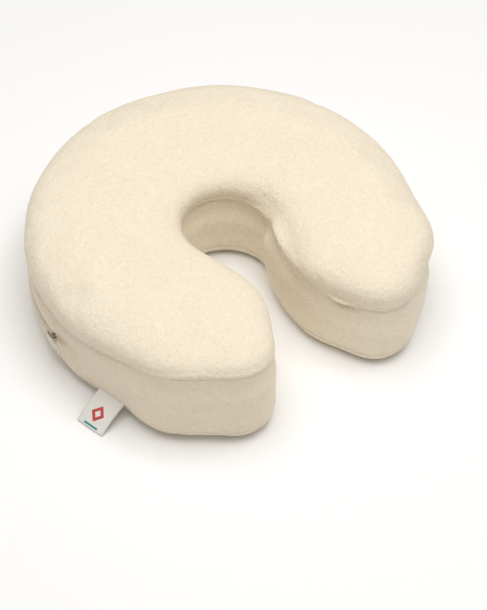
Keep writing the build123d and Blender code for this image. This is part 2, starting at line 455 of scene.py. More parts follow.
slot_cuts = [sign * (half_slot + more * MM) for sign in (-1, 1) for more in SLOT_CUTS]
slice_level(work, lambda points: points[:, 2] - zip_z, slot_cuts, 11 * MM, by_the_slot)
for side in (-1, 1):
    for more in END_CUTS:
        angle = side * (zip_end_angle + more * MM / back_radius)
        flat = Vector((math.sin(angle), math.cos(angle)))
        slice_upright(work, angle, lambda at, flat=flat: (
            (at - back_centre).to_2d().dot(flat) > back_radius - OUTER_WALL))
work.to_mesh(body.data)
work.free()
body.data.shade_smooth()
print(len(body.data.polygons), "faces after slicing")

# %% [markdown]
# ## Where the seams will be shaped
# Sewing pulls fabric into foam, and every effect of it fades with the distance from a
# seam. So each point of the body is first given its distance above both seams, its angle
# round the back, its place in plan, and how upright the wall is there. Distances are in
# millimetres from here on, because that is how a maker thinks of a pucker.

# %% Measure every point against the seams
points, normals = points_of(body.data), normals_of(body.data)
wall = np.clip(1.25 - np.abs(normals[:, 2]), 0, 1)
top_gap = above_top_seam(points) / MM
bottom_gap = above_bottom_seam(points) / MM
angle = angle_from_crown(points)
reach = reach_from_back(points)
outer_wall = on_outer_wall(points)
on_zip_side = outer_wall & (np.abs(angle) < zip_end_angle)
end_gap = (np.abs(angle) - zip_end_angle) * back_radius / MM
slot_gap = (np.abs(points[:, 2] - zip_z) - half_slot) / MM
plan = (points - np.array(back_centre)) / MM

# where the hole turns into the right arm the seam is stretched nearly flat
calm_arm = np.exp(-((plan[:, 0] - 30) / 20) ** 2 - ((plan[:, 1] + 34) / 38) ** 2)
# on the left flank, beside the zip's end, the band stays pulled in
pulled_in = bell(angle + 1.22, 0.36) * (reach > back_radius - 14 * MM)
label_root = np.array(joints["label_flap"]["pos_m"])
beside_label = bell(np.hypot(*(points - label_root).T[:2]), 24 * MM)
print(int(on_zip_side.sum()), "of", len(points), "points are on the zip's side")

# %% [markdown]
# ## The swell of each panel
# Above the seam the upper panel swells out over the stitches, and below it the band fills
# out again towards the floor. The seam itself is a fine groove with the pressed seam
# allowance showing as a faint second line above it. Small puckers run across it where the
# stretch fabric was eased in, and long soft waves keep the big surfaces from looking cast.

# %% Shape the swell, the grooves and the puckers
CROWN, FOOT = 3.9, 2.9

climbs = 0.8 * np.maximum(top_seam_rise(points), 0) / MM
crown = (CROWN - 1.5 * calm_arm) * smooth_step(
    (top_gap - 0.5 + climbs + 22 * calm_arm) / (15 + 18 * calm_arm))
foot = FOOT * smooth_step((-top_gap - 9) / 15) * (1 - pulled_in) * (1 - 0.75 * beside_label)
seam = (-0.65 * bell(top_gap, 1.2) + 0.45 * bell(top_gap - 2.1, 1.2)
        - 0.50 * bell(top_gap - 4.3, 1.1)) * (1 - 0.85 * calm_arm)
seam += 3.0 * bell(top_gap, 5.0) * calm_arm
under_lip = -1.2 * np.exp(np.minimum(top_gap, 0) / 8.0) * (top_gap < 0) * (1 - calm_arm)
notch = -2.0 * bell(top_gap + 0.5, 4.0) * pulled_in
bottom_groove = -0.8 * bell(bottom_gap, 0.9) - 0.5 * bell(bottom_gap, 4.0)
end_groove = -0.7 * bell(end_gap, 0.8) * outer_wall
end_groove *= (top_gap < 0) & (bottom_gap > 0)
puckers = waves(points * (1, 1, 0.25), 0.017, 21) * (
    0.30 * bell(top_gap + 3, 6) + 0.22 * bell(bottom_gap - 3, 5))
side_folds = waves(points * (0.35, 0.35, 1.0), 0.030, 31) * 0.55 * bell(top_gap + 22, 20)
swells = 0.55 * waves(points, 0.075, 41)
print("panels swell up to", round(float(crown.max()), 2), "mm")

# %% [markdown]
# ## Folds of the right arm
# Cloth can't follow a wall that curves in and then out again. On the right arm it bunches
# the seam into a short ridge, and inside the hole a fold runs down the wall where the
# round turns into the arm, with a dimple beside it. Over that fold the rim is rounded off.

# %% Shape the right arm's folds
FOLD_PROUD, SHOULDER_WORN = 4.2, 5.0

bunch = np.exp(-((plan[:, 0] - 36) / 11) ** 2 - ((plan[:, 1] + 110) / 11) ** 2)
seam += bunch * (3.3 * bell(top_gap - 1.4, 1.9) - 3.4 * bell(top_gap + 3.0, 2.6))

hole_y, hole_radius = -6.45, 35.5
hole_turn = np.arctan2(plan[:, 1] - hole_y, plan[:, 0])
fold_turn = np.radians(-24 + (points[:, 2] / MM - 10) / 60 * 30)
past_fold = hole_radius * (fold_turn - hole_turn)
beside_hole = smooth_step((plan[:, 0] - 4) / 8) * smooth_step((plan[:, 1] + 84) / 14)
beside_hole *= 1 - smooth_step((np.hypot(plan[:, 0], plan[:, 1] - hole_y) - 50) / 20)
off_floor = smooth_step((points[:, 2] / MM - 2) / 14)
fold = (FOLD_PROUD * smooth_step(past_fold / 6.0) * np.exp(-np.maximum(past_fold, 0) / 90)
        * beside_hole * off_floor)
crown = np.maximum(crown, fold)
worn_rim = (bell(normals[:, 2] - 0.55, 0.45) * bell(plan[:, 0] - 36, 22)
            * smooth_step((plan[:, 1] + 84) / 40) * (1 - smooth_step((plan[:, 1] + 6) / 18)))
crown -= SHOULDER_WORN * worn_rim * smooth_step((top_gap + 4) / 10)
tuck = -1.6 * bell(past_fold + 4, 5) * beside_hole * (1 - smooth_step((top_gap + 8) / 8))
dimple = -4.5 * np.exp(-((past_fold - 13) / 8) ** 2 - ((top_gap + 6) / 10) ** 2) * beside_hole
print("the fold stands", round(float(fold.max()), 2), "mm proud")

# %% [markdown]
# ## Pressing it all in
# All the effects add up to one push along each point's normal. The zip needs two cares:
# the wall stays calm along its opening, with the cut edges turned in, and it stays low
# past each end, so that the pull can lie there. Nothing may go below the resting plane.

# %% Press the seams into the body
moved = (seam + under_lip + notch + bottom_groove + end_groove
         + puckers + side_folds + tuck + dimple) * wall + crown + foot + swells
from_slot = np.maximum(slot_gap, 0)
moved = moved * np.where(on_zip_side, 1 - bell(from_slot, 3.5), 1.0)
pull_room = (smooth_step((end_gap + 4) / 4) * (1 - smooth_step((end_gap - 26) / 12))
             * (1 - smooth_step((slot_gap - 1) / 8)) * outer_wall)
moved = moved * (1 - pull_room) + np.minimum(moved, -0.5) * pull_room
moved -= np.where(on_zip_side, 1.5 * bell(from_slot, 0.7), 0)
shaped = points + normals * (moved * MM)[:, None]
above_rest = (shaped[:, 2] - base_z - 1.0 * MM) / MM
sunk = above_rest < 0
shaped[sunk, 2] = base_z + np.exp(above_rest[sunk]) * MM
put_points(body.data, shaped)
print("moved from", round(moved.min(), 2), "to", round(moved.max(), 2), "mm")

# %% [markdown]
# ## Easing what is stretched tight
# Where stretch fabric is pulled round a tight form it has no small folds at all. The lower
# rim and the right arm's inner shoulder are such places, so their points are moved towards
# the mean of their neighbours a few times, which is what pulling does to cloth.

# %% Ease the lower rim and the inner shoulder
lower_rim = (bottom_gap < -1.2) & (bottom_gap > -30)
along_arm = smooth_step((plan[:, 1] + 106) / 20) * (1 - smooth_step((plan[:, 1] + 18) / 16))
inner_arm = bell(plan[:, 0] - 32, 20) * along_arm
ease = bmesh.new()
ease.from_mesh(body.data)
ease.verts.ensure_lookup_table()
for eased, passes in ((lower_rim, 14),
                      ((worn_rim > 0.06) & (top_gap > 4), 16),
                      ((inner_arm > 0.2) & (top_gap > -11) & (top_gap < 30), 10),
                      ((inner_arm > 0.5) & (top_gap > -8) & (top_gap < 27), 16)):
    verts = [ease.verts[k] for k in np.flatnonzero(eased)]
    for _ in range(passes):
        bmesh.ops.smooth_vert(ease, verts=verts, factor=0.5, use_axis_x=True,
                              use_axis_y=True, use_axis_z=True)
ease.to_mesh(body.data)
ease.free()
print(int(lower_rim.sum()), "points eased along the lower rim")

# %% [markdown]
# ## The cover's panels
# The cover is five pieces of cloth: a top panel, a side band round the arms and the hole,
# two narrow bands either side of the zip, and the underside. Each takes its own share of
# the body's faces, with the zip's opening left empty, and gets a real thickness inwards.

# %% Part the body into panels
CLOTH_THICKNESS = 1.5 * MM

rest_top = above_top_seam(points)
rest_bottom = above_bottom_seam(points)


def panel_at(corners):
    """The name of the panel that a face with these corners belongs to."""
    if rest_top[corners].mean() > 0:
        return "cover_top"
    if rest_bottom[corners].mean() < 0:
        return "cover_base"
    middle = points[corners].mean(axis=0)
    turn = abs(math.atan2(middle[0], middle[1] - back_centre.y))
    out = math.hypot(middle[0], middle[1] - back_centre.y)
    if out < back_radius - OUTER_WALL or turn > zip_end_angle:
        return "cover_side"
    if abs(middle[2] - zip_z) < half_slot:
        return "opening"
    return "band_above_zip" if middle[2] > zip_z else "band_below_zip"


panel_of_face = [panel_at(list(face.vertices)) for face in body.data.polygons]
for name in sorted(set(panel_of_face)):
    print(name, panel_of_face.count(name), "faces")

# %% [markdown]
# ## Flat blanks
# A fitted cover is cut a little smaller than the foam and pulls tight. Each panel's blank
# follows from its finished cloth: a long strip is a rectangle with the strip's own area
# and edge, and the top and the underside are their plan plus what turns down the walls.

# %% Cut the panels out
STRETCH = 1.04  # how much the finished cloth's area is larger than its blank's
SHARP_EDGE = math.radians(55)


def panel(name, stands_for, strip=False):
    """The faces of one panel, as a closed piece of cloth, with the flat blank it came from."""
    cut = bmesh.new()
    cut.from_mesh(body.data)
    cut.faces.ensure_lookup_table()
    other = [f for f, owner in zip(cut.faces, panel_of_face) if owner != name]
    bmesh.ops.delete(cut, geom=other, context="FACES")
    area = sum(f.calc_area() for f in cut.faces)
    edge = sum(e.calc_length() for e in cut.edges if e.is_boundary)
    piece = object_of(name, cut)
    thick = piece.modifiers.new("cloth thickness", "SOLIDIFY")
    thick.thickness, thick.offset = CLOTH_THICKNESS, -1
    apply_modifiers(piece)
    piece.data.shade_smooth()
    piece.data.set_sharp_from_angle(angle=SHARP_EDGE)
    settle(piece, stands_for)
    if strip:  # a rectangle with the strip's own area and edge
        run = edge / 4 + math.sqrt(edge * edge / 16 - area)
        flat = (area / run, run)
    else:  # the plan, and what turns down the walls
        turned_down = piece.dimensions.z
        flat = (piece.dimensions.x + 2 * turned_down, piece.dimensions.y + 2 * turned_down)
    flat = [side / math.sqrt(STRETCH) for side in flat]
    print(name, [round(side / MM) for side in flat], "mm flat,", len(piece.data.polygons), "faces")
    return piece


panels = {
    "top": panel("cover_top", "cover_top_panel"),
    "side": panel("cover_side", "cover_side_band", strip=True),
    "above": panel("band_above_zip", "zip_band_upper", strip=True),
    "below": panel("band_below_zip", "zip_band_lower", strip=True),
    "base": panel("cover_base", "cover_bottom_panel"),
}

# %% [markdown]
# ## Brushed stretch fabric
# The cover is cream velour: a dense short nap on a knitted back. Up close it is a mottle
# of tiny tufts that catch the light differently, and from the side its loose fibres glow
# a little, which is what a sheen layer does. The mottle and the tufts come from noise on
# object coordinates, so they run over the seams without stretching. The pattern is a node
# group with named inputs, so its colours and its scale can be set wherever it is placed.

# %% Build the nap pattern
def new_group(name, inputs, outputs):
    """A shader node group with named float or colour sockets."""
    group = bpy.data.node_groups.new(name, "ShaderNodeTree")
    for socket, value in inputs.items():
        kind = "NodeSocketColor" if isinstance(value, tuple) else "NodeSocketFloat"
        made = group.interface.new_socket(socket, in_out="INPUT", socket_type=kind)
        made.default_value = value
    for socket, kind in outputs.items():
        group.interface.new_socket(socket, in_out="OUTPUT", socket_type=kind)
    return group, group.nodes.new("NodeGroupInput"), group.nodes.new("NodeGroupOutput")


def fill(tree, node, **sockets):
    """Fills sockets with values or links. i0 is the first; an underscore is a space."""
    for key, value in sockets.items():
        numbered = key[0] == "i" and key[1:].isdigit()
        socket = node.inputs[int(key[1:]) if numbered else key.replace("_", " ")]
        if isinstance(value, bpy.types.NodeSocket):
            tree.links.new(value, socket)
        else:
            socket.default_value = value


def add_node(tree, kind, settings=None, **sockets):
    """A new node with its settings made and its sockets filled."""
    node = tree.nodes.new(kind)
    for key, value in (settings or {}).items():
        setattr(node, key, value)
    fill(tree, node, **sockets)
    return node


def maths(tree, operation, first, second=0.0):
    node = add_node(tree, "ShaderNodeMath", {"operation": operation}, i0=first, i1=second)
    return node.outputs[0]


def weighted(tree, parts):
    """The sum of several values, each times its weight."""
    total = 0.0
    for value, weight in parts:
        total = maths(tree, "ADD", total, maths(tree, "MULTIPLY", value, weight))
    return total


def mix_colours(tree, share, first, second):
    node = add_node(tree, "ShaderNodeMix", {"data_type": "RGBA"}, i0=share, i6=first, i7=second)
    return node.outputs[2]


def object_place(tree):
    return add_node(tree, "ShaderNodeTexCoord").outputs["Object"]


def noise(tree, vector, scale, detail=3.0, rough=0.55):
    node = add_node(tree, "ShaderNodeTexNoise", Vector=vector, Scale=scale,
                    Detail=detail, Roughness=rough)
    return node.outputs["Fac"]


def spread(tree, value, low, high):
    """Stretches a value so that low becomes 0 and high becomes 1."""
    node = add_node(tree, "ShaderNodeMapRange", Value=value, i1=low, i2=high)
    return node.outputs[0]


nap, given, result = new_group(
    "brushed nap",
    {"Cloth": (0.9, 0.8, 0.6, 1.0), "Shade": (0.8, 0.7, 0.5, 1.0), "Tuft scale": 700.0},
    {"Color": "NodeSocketColor", "Height": "NodeSocketFloat"})
where = object_place(nap)
tufts = noise(nap, where, given.outputs["Tuft scale"], 2.0, 0.6)
clumps = noise(nap, where, maths(nap, "MULTIPLY", given.outputs["Tuft scale"], 0.42))
strokes = noise(nap, where, 38.0, 3.0, 0.6)
patches = noise(nap, where, 11.0, 2.0)
weights = ((tufts, 0.45), (clumps, 0.30), (strokes, 0.15), (patches, 0.10))
mottle = weighted(nap, [(spread(nap, clouds, 0.3, 0.7), weight) for clouds, weight in weights])
fill(nap, result,
     Color=mix_colours(nap, mottle, given.outputs["Shade"], given.outputs["Cloth"]),
     Height=weighted(nap, ((tufts, 0.5), (clumps, 0.9), (strokes, 0.4))))
print("nap group has", len(nap.nodes), "nodes")

# %% [markdown]
# ## The velour itself
# Velour is matt, with hardly any gloss, and its fibre ends catch light from the side. The
# rough base with a low specular level gives the first, and a pale sheen gives the second.
# Real hairs would look much the same from a metre away, and could not be exported.

# %% Make the cover's material
def new_material(name):
    material = bpy.data.materials.new(name)
    material.use_nodes = True
    return material, material.node_tree, material.node_tree.nodes["Principled BSDF"]


def bumped(tree, height, strength, distance):
    """A normal that rises and falls with a height."""
    node = add_node(tree, "ShaderNodeBump", Strength=strength, Distance=distance,
                    Height=height)
    return node.outputs["Normal"]


def dress(piece, material):
    piece.data.materials.clear()
    piece.data.materials.append(material)


def mottled(name, scale, dark, pale, roughness, detail=2.0, rough=0.55, bump=None):
    """A material that wanders between two shades, and may rise and fall with them."""
    material, tree, shader = new_material(name)
    clouds = noise(tree, object_place(tree), scale, detail, rough)
    fill(tree, shader, Base_Color=mix_colours(tree, clouds, dark, pale), Roughness=roughness)
    if bump:
        fill(tree, shader, Normal=bumped(tree, clouds, *bump))
    return material, tree, shader, clouds


velour, tree, shader = new_material("cream velour")
pattern = add_node(tree, "ShaderNodeGroup", {"node_tree": nap}, Tuft_scale=600.0,
                   Cloth=(0.94, 0.845, 0.685, 1), Shade=(0.79, 0.685, 0.525, 1))
fill(tree, shader, Base_Color=pattern.outputs["Color"], Roughness=0.92,
     Normal=bumped(tree, pattern.outputs["Height"], 0.85, 1.1 * MM), Specular_IOR_Level=0.15,
     Sheen_Weight=0.35, Sheen_Roughness=0.45, Sheen_Tint=(1.0, 0.96, 0.88, 1))
for piece in panels.values():
    dress(piece, velour)
print("velour on", len(panels), "panels")

# %% [markdown]
# ## One row builder for every repeated thing
# Stitches, zip loops and hooks are all the same idea: a small item set down over and over
# along a line. One node tree does it. It turns a line of edges into a curve, walks it in
# equal steps, and stands an item at each step with its Z axis along the line and its X
# axis level, pointing to the line's right. A little wobble keeps thread from looking
# printed. The spacing, wobble, seed and item are the tree's named inputs. The items are
# bent wires of a few dozen faces, swept by one helper along a short path.

# %% Build the row builder
def geometry_group(name, sockets):
    """A Geometry Nodes tree with these named inputs after its geometry."""
    group = bpy.data.node_groups.new(name, "GeometryNodeTree")
    group.is_modifier = True
    group.interface.new_socket("Geometry", in_out="INPUT", socket_type="NodeSocketGeometry")
    for socket, (kind, value) in sockets.items():
        made = group.interface.new_socket(socket, in_out="INPUT", socket_type="NodeSocket" + kind)
        if value is not None:
            made.default_value = value
    group.interface.new_socket("Geometry", in_out="OUTPUT", socket_type="NodeSocketGeometry")
    return group, group.nodes.new("NodeGroupInput"), group.nodes.new("NodeGroupOutput")


row_tree, given, result = geometry_group("row along a line", {
    "Item": ("Object", None), "Spacing": ("Float", 0.003), "Wobble": ("Float", 0.0),
    "Seed": ("Int", 1), "Material": ("Material", None)})
line = add_node(row_tree, "GeometryNodeMeshToCurve", i0=given.outputs["Geometry"])
facing = add_node(row_tree, "GeometryNodeSetCurveNormal", {"mode": "Z_UP"}, i0=line.outputs[0])
walk = add_node(row_tree, "GeometryNodeCurveToPoints", {"mode": "LENGTH"},
                Curve=facing.outputs[0], Length=given.outputs["Spacing"])
item = add_node(row_tree, "GeometryNodeObjectInfo", Object=given.outputs["Item"])
less = maths(row_tree, "MULTIPLY", given.outputs["Wobble"], -1.0)
turn = add_node(row_tree, "FunctionNodeRandomValue", {"data_type": "FLOAT_VECTOR"},
                i0=less, i1=given.outputs["Wobble"], Seed=given.outputs["Seed"])
wobbled = add_node(row_tree, "FunctionNodeRotateRotation", {"rotation_space": "LOCAL"},
                   i0=walk.outputs["Rotation"], i1=turn.outputs["Value"])
rows = add_node(row_tree, "GeometryNodeInstanceOnPoints", Points=walk.outputs["Points"],
                Instance=item.outputs["Geometry"], Rotation=wobbled.outputs[0])
real = add_node(row_tree, "GeometryNodeRealizeInstances", i0=rows.outputs[0])
painted = add_node(row_tree, "GeometryNodeSetMaterial", Geometry=real.outputs[0],
                   Material=given.outputs["Material"])
fill(row_tree, result, i0=painted.outputs[0])


def along_line(name, line_mesh, **inputs):
    """Sets a row of items along a line of edges, and keeps it as a plain mesh."""
    piece = link(name, line_mesh)
    maker = piece.modifiers.new(row_tree.name, "NODES")
    maker.node_group = row_tree
    for socket in row_tree.interface.items_tree:
        if socket.in_out == "INPUT" and socket.name in inputs:
            maker[socket.identifier] = inputs[socket.name]
    apply_modifiers(piece)
    piece.data.shade_smooth()
    return piece


def wire_item(name, path, halves, sides, squeeze=1.0, place=lambda at: at):
    """A small bent wire, built as rings round a path in the XZ plane, to set along a line."""
    work, rings = bmesh.new(), []
    for step, ((x, z), half) in enumerate(zip(path, halves)):
        ahead, behind = path[min(step + 1, len(path) - 1)], path[max(step - 1, 0)]
        way = Vector((ahead[0] - behind[0], 0, ahead[1] - behind[1])).normalized()
        beside = Vector((-way.z, 0, way.x))
        ring = []
        for k in range(sides):
            turn_by = 2 * math.pi * k / sides
            at = Vector((x, 0, z)) + beside * (half * squeeze * math.cos(turn_by))
            at.y = half * math.sin(turn_by)
            ring.append(work.verts.new(place(at)))
        rings.append(ring)
    for one, two in zip(rings, rings[1:]):
        for k in range(sides):
            work.faces.new((one[k], one[(k + 1) % sides], two[(k + 1) % sides], two[k]))
    work.faces.new(rings[0])
    work.faces.new(rings[-1])
    bmesh.ops.recalc_face_normals(work, faces=work.faces)
    item = object_of(name, work)
    item.hide_render = item.hide_viewport = True
    return item


print("row builder has", len(row_tree.nodes), "nodes")

# %% [markdown]
# ## Sewing
# The long seams are closed with cotton-wrapped thread that sits at the bottom of each
# valley. On both sides of the zip a row of topstitches holds the folded edge down. Their
# lines are edges of the body itself, found by height, so the thread follows every pucker.

# %% Make the two stitches
THREAD, SEAM_STITCH, TOPSTITCH = 0.6 * MM, 3.2 * MM, 2.8 * MM
STITCH_SHAPE = ((-0.5, 0.45), (-0.3, 0.9), (0.0, 1.0), (0.3, 0.9), (0.5, 0.45))


def stitch_item(name, length):
    """One stitch: a short capsule along Z that is a little fatter in its middle."""
    path = [(0.0, share * length) for share, _ in STITCH_SHAPE]
    return wire_item(name, path, [THREAD / 2 * fat for _, fat in STITCH_SHAPE], 6)


seam_item = stitch_item("seam_stitch_item", 2.5 * MM)
topstitch_item = stitch_item("topstitch_item", 2.2 * MM)
print("a stitch has", len(seam_item.data.polygons), "faces")

# %% Sew the stitches
def line_on_body(name, chosen, lift):
    """The body's edges between chosen points, raised a little off the cloth."""
    place, away = points_of(body.data), normals_of(body.data)
    kept = np.flatnonzero(chosen)
    number = {int(old): new for new, old in enumerate(kept)}
    edges = [(number[e.vertices[0]], number[e.vertices[1]]) for e in body.data.edges
             if e.vertices[0] in number and e.vertices[1] in number]
    mesh = bpy.data.meshes.new(name)
    mesh.from_pydata((place[kept] + away[kept] * lift).tolist(), edges, [])
    return mesh


ON_LINE, THREAD_LIFT, FIRST_SEED = 0.03 * MM, 0.05 * MM, 3
thread_stuff, *_ = mottled("cotton thread", 2200.0, (0.78, 0.71, 0.57, 1), (0.93, 0.88, 0.76, 1),
                           0.7, bump=(0.5, 0.1 * MM))
topstitch_height = half_slot + SLOT_CUTS[-1] * MM
from_middle = np.abs(points[:, 2] - zip_z)
on_topstitch = (np.abs(from_middle - topstitch_height) < ON_LINE) & on_zip_side
sewn_lines = {
    "thread_top_seam": (np.abs(rest_top) < ON_LINE, seam_item, SEAM_STITCH),
    "thread_bottom_seam": (np.abs(rest_bottom) < ON_LINE, seam_item, SEAM_STITCH),
    "thread_zip_upper": (on_topstitch & (points[:, 2] > zip_z), topstitch_item, TOPSTITCH),
    "thread_zip_lower": (on_topstitch & (points[:, 2] < zip_z), topstitch_item, TOPSTITCH),
}
for seed, (node_name, (chosen, item, spacing)) in enumerate(sewn_lines.items(), FIRST_SEED):
    row = along_line(node_name.replace("thread", "stitches"),
                     line_on_body(node_name, chosen, THREAD_LIFT), Item=item,
                     Spacing=spacing, Wobble=0.07, Seed=seed, Material=thread_stuff)
    settle(row, node_name)
    print(row.name, len(row.data.polygons), "faces")
bpy.data.objects.remove(body)

# %% [markdown]
# ## The zip
# A nylon coil zip closes the back. Each side is one plastic filament wound into loops,
# and the loops of one side drop between those of the other, so the upper row is set half
# a step along from the lower. The loops are set along an arc about the back's centre.

# %% Make the coil's loops
COIL_STEP, LOOP_WIRE, COIL_INSET = 1.5 * MM, 0.8 * MM, 0.004
ARC_STEPS = 400


def loop_item(name, side):
    """One loop of the coil: a bent filament from the tape out, across, and back in."""
    low, high = coil_low.z - zip_z - 0.2 * MM, coil_high.z - zip_z
    out = coil_radius - tape_radius
    path = [(0.25 * out, high - LOOP_WIRE / 2), (0.72 * out, high - 0.7 * LOOP_WIRE),
            (0.78 * out, (low + high) / 2), (0.66 * out, low + LOOP_WIRE),
            (0.40 * out, low + LOOP_WIRE / 2)]
    halves = [LOOP_WIRE / 2 * share for share in (0.85, 1, 1, 1, 0.85)]
    return wire_item(name, path, halves, 6, 0.9, lambda at: (at.x, -side * at.z, at.y))


def arc_line(name, radius, half_angle, shift):
    """An arc round the back at the zip's height, walked anticlockwise."""
    places = []
    for k in range(ARC_STEPS + 1):
        turn_by = math.pi / 2 - half_angle + (2 * half_angle) * k / ARC_STEPS + shift / radius
        x, y = radius * math.cos(turn_by), back_centre.y + radius * math.sin(turn_by)
        places.append((x, y, zip_z))
    mesh = bpy.data.meshes.new(name)
    mesh.from_pydata(places, [(k, k + 1) for k in range(ARC_STEPS)], [])
    return mesh


nylon, *_ = mottled("cream nylon", 300.0, (0.80, 0.74, 0.60, 1), (0.88, 0.83, 0.70, 1), 0.35)
for number, (side, node_name) in enumerate(((1, "zip_coil_upper"), (-1, "zip_coil_lower"))):
    line = arc_line(node_name, tape_radius, coil_end_angle - COIL_INSET, number * COIL_STEP / 2)
    loops = along_line(node_name.replace("coil", "loops"), line,
                       Item=loop_item(node_name + "_loop", side), Spacing=COIL_STEP,
                       Wobble=0.0, Seed=1, Material=nylon)
    settle(loops, node_name)
    print(loops.name, len(loops.data.polygons), "faces, out to",
          round(loops.dimensions.x / 2 / MM, 2), "mm")

# %% [markdown]
# ## Tapes and stops
# The coil is sewn to two woven tapes, and small metal stops are clamped on at its ends.
# Their shapes are already right in the solid model, so they only get their finish: a fine
# woven rib made of wave bands along Z, and scuffed zinc.

# %% Weave the tapes and cast the stops
tape_stuff, tree, shader = new_material("woven tape")
rib = add_node(tree, "ShaderNodeTexWave", {"wave_type": "BANDS", "bands_direction": "Z"},
               Vector=object_place(tree), Scale=260.0, Distortion=0.6, Detail=1.0)
rib = rib.outputs["Fac"]
woven = mix_colours(tree, rib, (0.70, 0.63, 0.50, 1), (0.86, 0.80, 0.67, 1))
fill(tree, shader, Base_Color=woven, Normal=bumped(tree, rib, 0.5, 0.2 * MM), Roughness=0.8)
zinc, tree, shader, scuffs = mottled(
    "brushed zinc", 900.0, (0.78, 0.77, 0.74, 1), (0.90, 0.89, 0.86, 1), 0.5,
    detail=3.0, rough=0.65, bump=(0.15, 0.05 * MM))
fill(tree, shader, Metallic=1.0, Roughness=spread(tree, scuffs, 0.0, 2.6))
for node_name, stuff in (("zip_tape_upper", tape_stuff), ("zip_tape_lower", tape_stuff),
                         ("zip_top_stops", zinc), ("zip_bottom_stop", zinc)):
    dress(nodes[node_name], stuff)
    print(node_name, "in", stuff.name)

# %% [markdown]
# ## The slider and its pull
# Both are die-cast and painted cream, to go with the cloth. A casting has no sharp edge,
# and an edge that catches light is what makes a small thing look real, so a copy of each
# solid gets a fine bevel. The slider and the pull ride on their own bodies.

# %% Cast the slider and its pull
CAST_EDGE, CAST_SEGMENTS = 0.22 * MM, 2

paint, *_ = mottled("cream paint", 500.0, (0.66, 0.60, 0.48, 1), (0.78, 0.72, 0.59, 1), 0.38,
                    detail=3.0, rough=0.6, bump=(0.2, 0.05 * MM))
for node_name, rides in (("zip_slider", "slider"), ("zip_pull", "pull")):
    cast = merged_copy(node_name + "_cast", node_name)
    rounded = cast.modifiers.new("soft edges", "BEVEL")
    rounded.width, rounded.segments = CAST_EDGE, CAST_SEGMENTS
    rounded.limit_method, rounded.angle_limit = "ANGLE", math.radians(42)
    apply_modifiers(cast)
    cast.data.shade_smooth()
    dress(cast, paint)
    settle(cast, node_name, rides)
    print(cast.name, len(cast.data.polygons), "faces")

# %% [markdown]
# ## The folded label
# A woven ribbon is folded in half and caught in the bottom seam, so it stands out as two
# plies with a soft fold at the free end. It is one long strip of cloth: a path runs out
# along the upper ply, round the fold and back, and the strip's width is swept across it.
# The back half hangs a little lower at one edge, which opens a thin dark gap there.

# %% Weave the label's shape
LABEL_WIDTH, LABEL_OUT, LABEL_TUCK = 25 * MM, 26 * MM, 3.5 * MM
LABEL_BEND, RIBBON = 3 * MM, 0.24 * MM
FOLD_RADIUS, ACROSS, DOWN = 0.42 * MM, 20, 26

flap = joints["label_flap"]
root = Vector(flap["pos_m"])
along = Vector(flap["axis"]).normalized()
out_level = Vector((-along.y, along.x, 0))
drop = (root.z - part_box("woven_label")[0].z - 0.5 * MM) / LABEL_OUT
down_label = (out_level * math.sqrt(1 - drop * drop) - Vector((0, 0, drop))).normalized()
off_face = along.cross(down_label).normalized()


def label_path():
    """Steps along the strip, as distance down the label and side of the fold."""
    straight = [(-LABEL_TUCK + (LABEL_OUT + LABEL_TUCK - FOLD_RADIUS) * i / DOWN, 1.0)
                for i in range(DOWN + 1)]
    bend = [(LABEL_OUT - FOLD_RADIUS + FOLD_RADIUS * math.sin(t), math.cos(t))
            for t in (math.pi * k / 8 for k in range(1, 8))]
    back = [(d, -1.0) for d, _ in reversed(straight)]
    return straight + bend + back


strip, faces, uvs = [], [], []
path = label_path()
for step, (down, side) in enumerate(path):
    share = max(0.0, down / LABEL_OUT)
    camber = 1.5 * MM * math.sin(math.pi * min(1.0, share)) - 0.2 * MM * share
    for i in range(ACROSS + 1):
        u = i / ACROSS
        gap = FOLD_RADIUS * (1 + 1.6 * max(0.0, 0.45 - u) * math.sin(math.pi * share) * (side < 0))
        curl = 0.5 * MM * (2 * u - 1) ** 2 * share
        place = (root + down_label * down + off_face * (camber + side * gap - curl)
                 + along * (u - 0.5) * LABEL_WIDTH)
        strip.append(place)
        uvs.append((u, step / (len(path) - 1)))
row = ACROSS + 1
for step in range(len(path) - 1):
    for i in range(ACROSS):
        first = step * row + i
        faces.append((first, first + 1, first + 1 + row, first + row))
label_mesh = bpy.data.meshes.new("woven_label_ribbon")
label_mesh.from_pydata(strip, [], faces)
layer = label_mesh.uv_layers.new(name="ribbon")
for loop in label_mesh.loops:
    layer.data[loop.index].uv = uvs[loop.vertex_index]
label = link("woven_label_ribbon", label_mesh)
thick = label.modifiers.new("ribbon thickness", "SOLIDIFY")
thick.thickness, thick.offset = RIBBON, 0
apply_modifiers(label)
label.data.shade_smooth()
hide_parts("woven_label")
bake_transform(label)
print("label", round(label.dimensions.x / MM), "mm across the view,", len(faces), "faces")

# %% [markdown]
# ## The ribbon's weave and mark
# A woven label's picture is made of its own threads, so its edges follow the weave and its
# surface stays one cloth. The ribbon has a UV map that runs across and along it, and the
# weave, an open diamond and a short bar are drawn from those two distances alone.

# %% Colour the ribbon
ribbon_stuff, tree, shader = new_material("woven ribbon")
map_at = add_node(tree, "ShaderNodeUVMap", {"uv_map": "ribbon"}).outputs["UV"]
split = add_node(tree, "ShaderNodeSeparateXYZ", Vector=map_at)
u_at, v_at = split.outputs["X"], split.outputs["Y"]


def apart(value, middle_at):
    """How far a value is from a middle."""
    return maths(tree, "ABSOLUTE", maths(tree, "SUBTRACT", value, middle_at))


def inside(value, middle_at, half):
    """1 where a value is within half of its middle, else 0."""
    return maths(tree, "LESS_THAN", apart(value, middle_at), half)


def both(first, second):
    return maths(tree, "MULTIPLY", first, second)


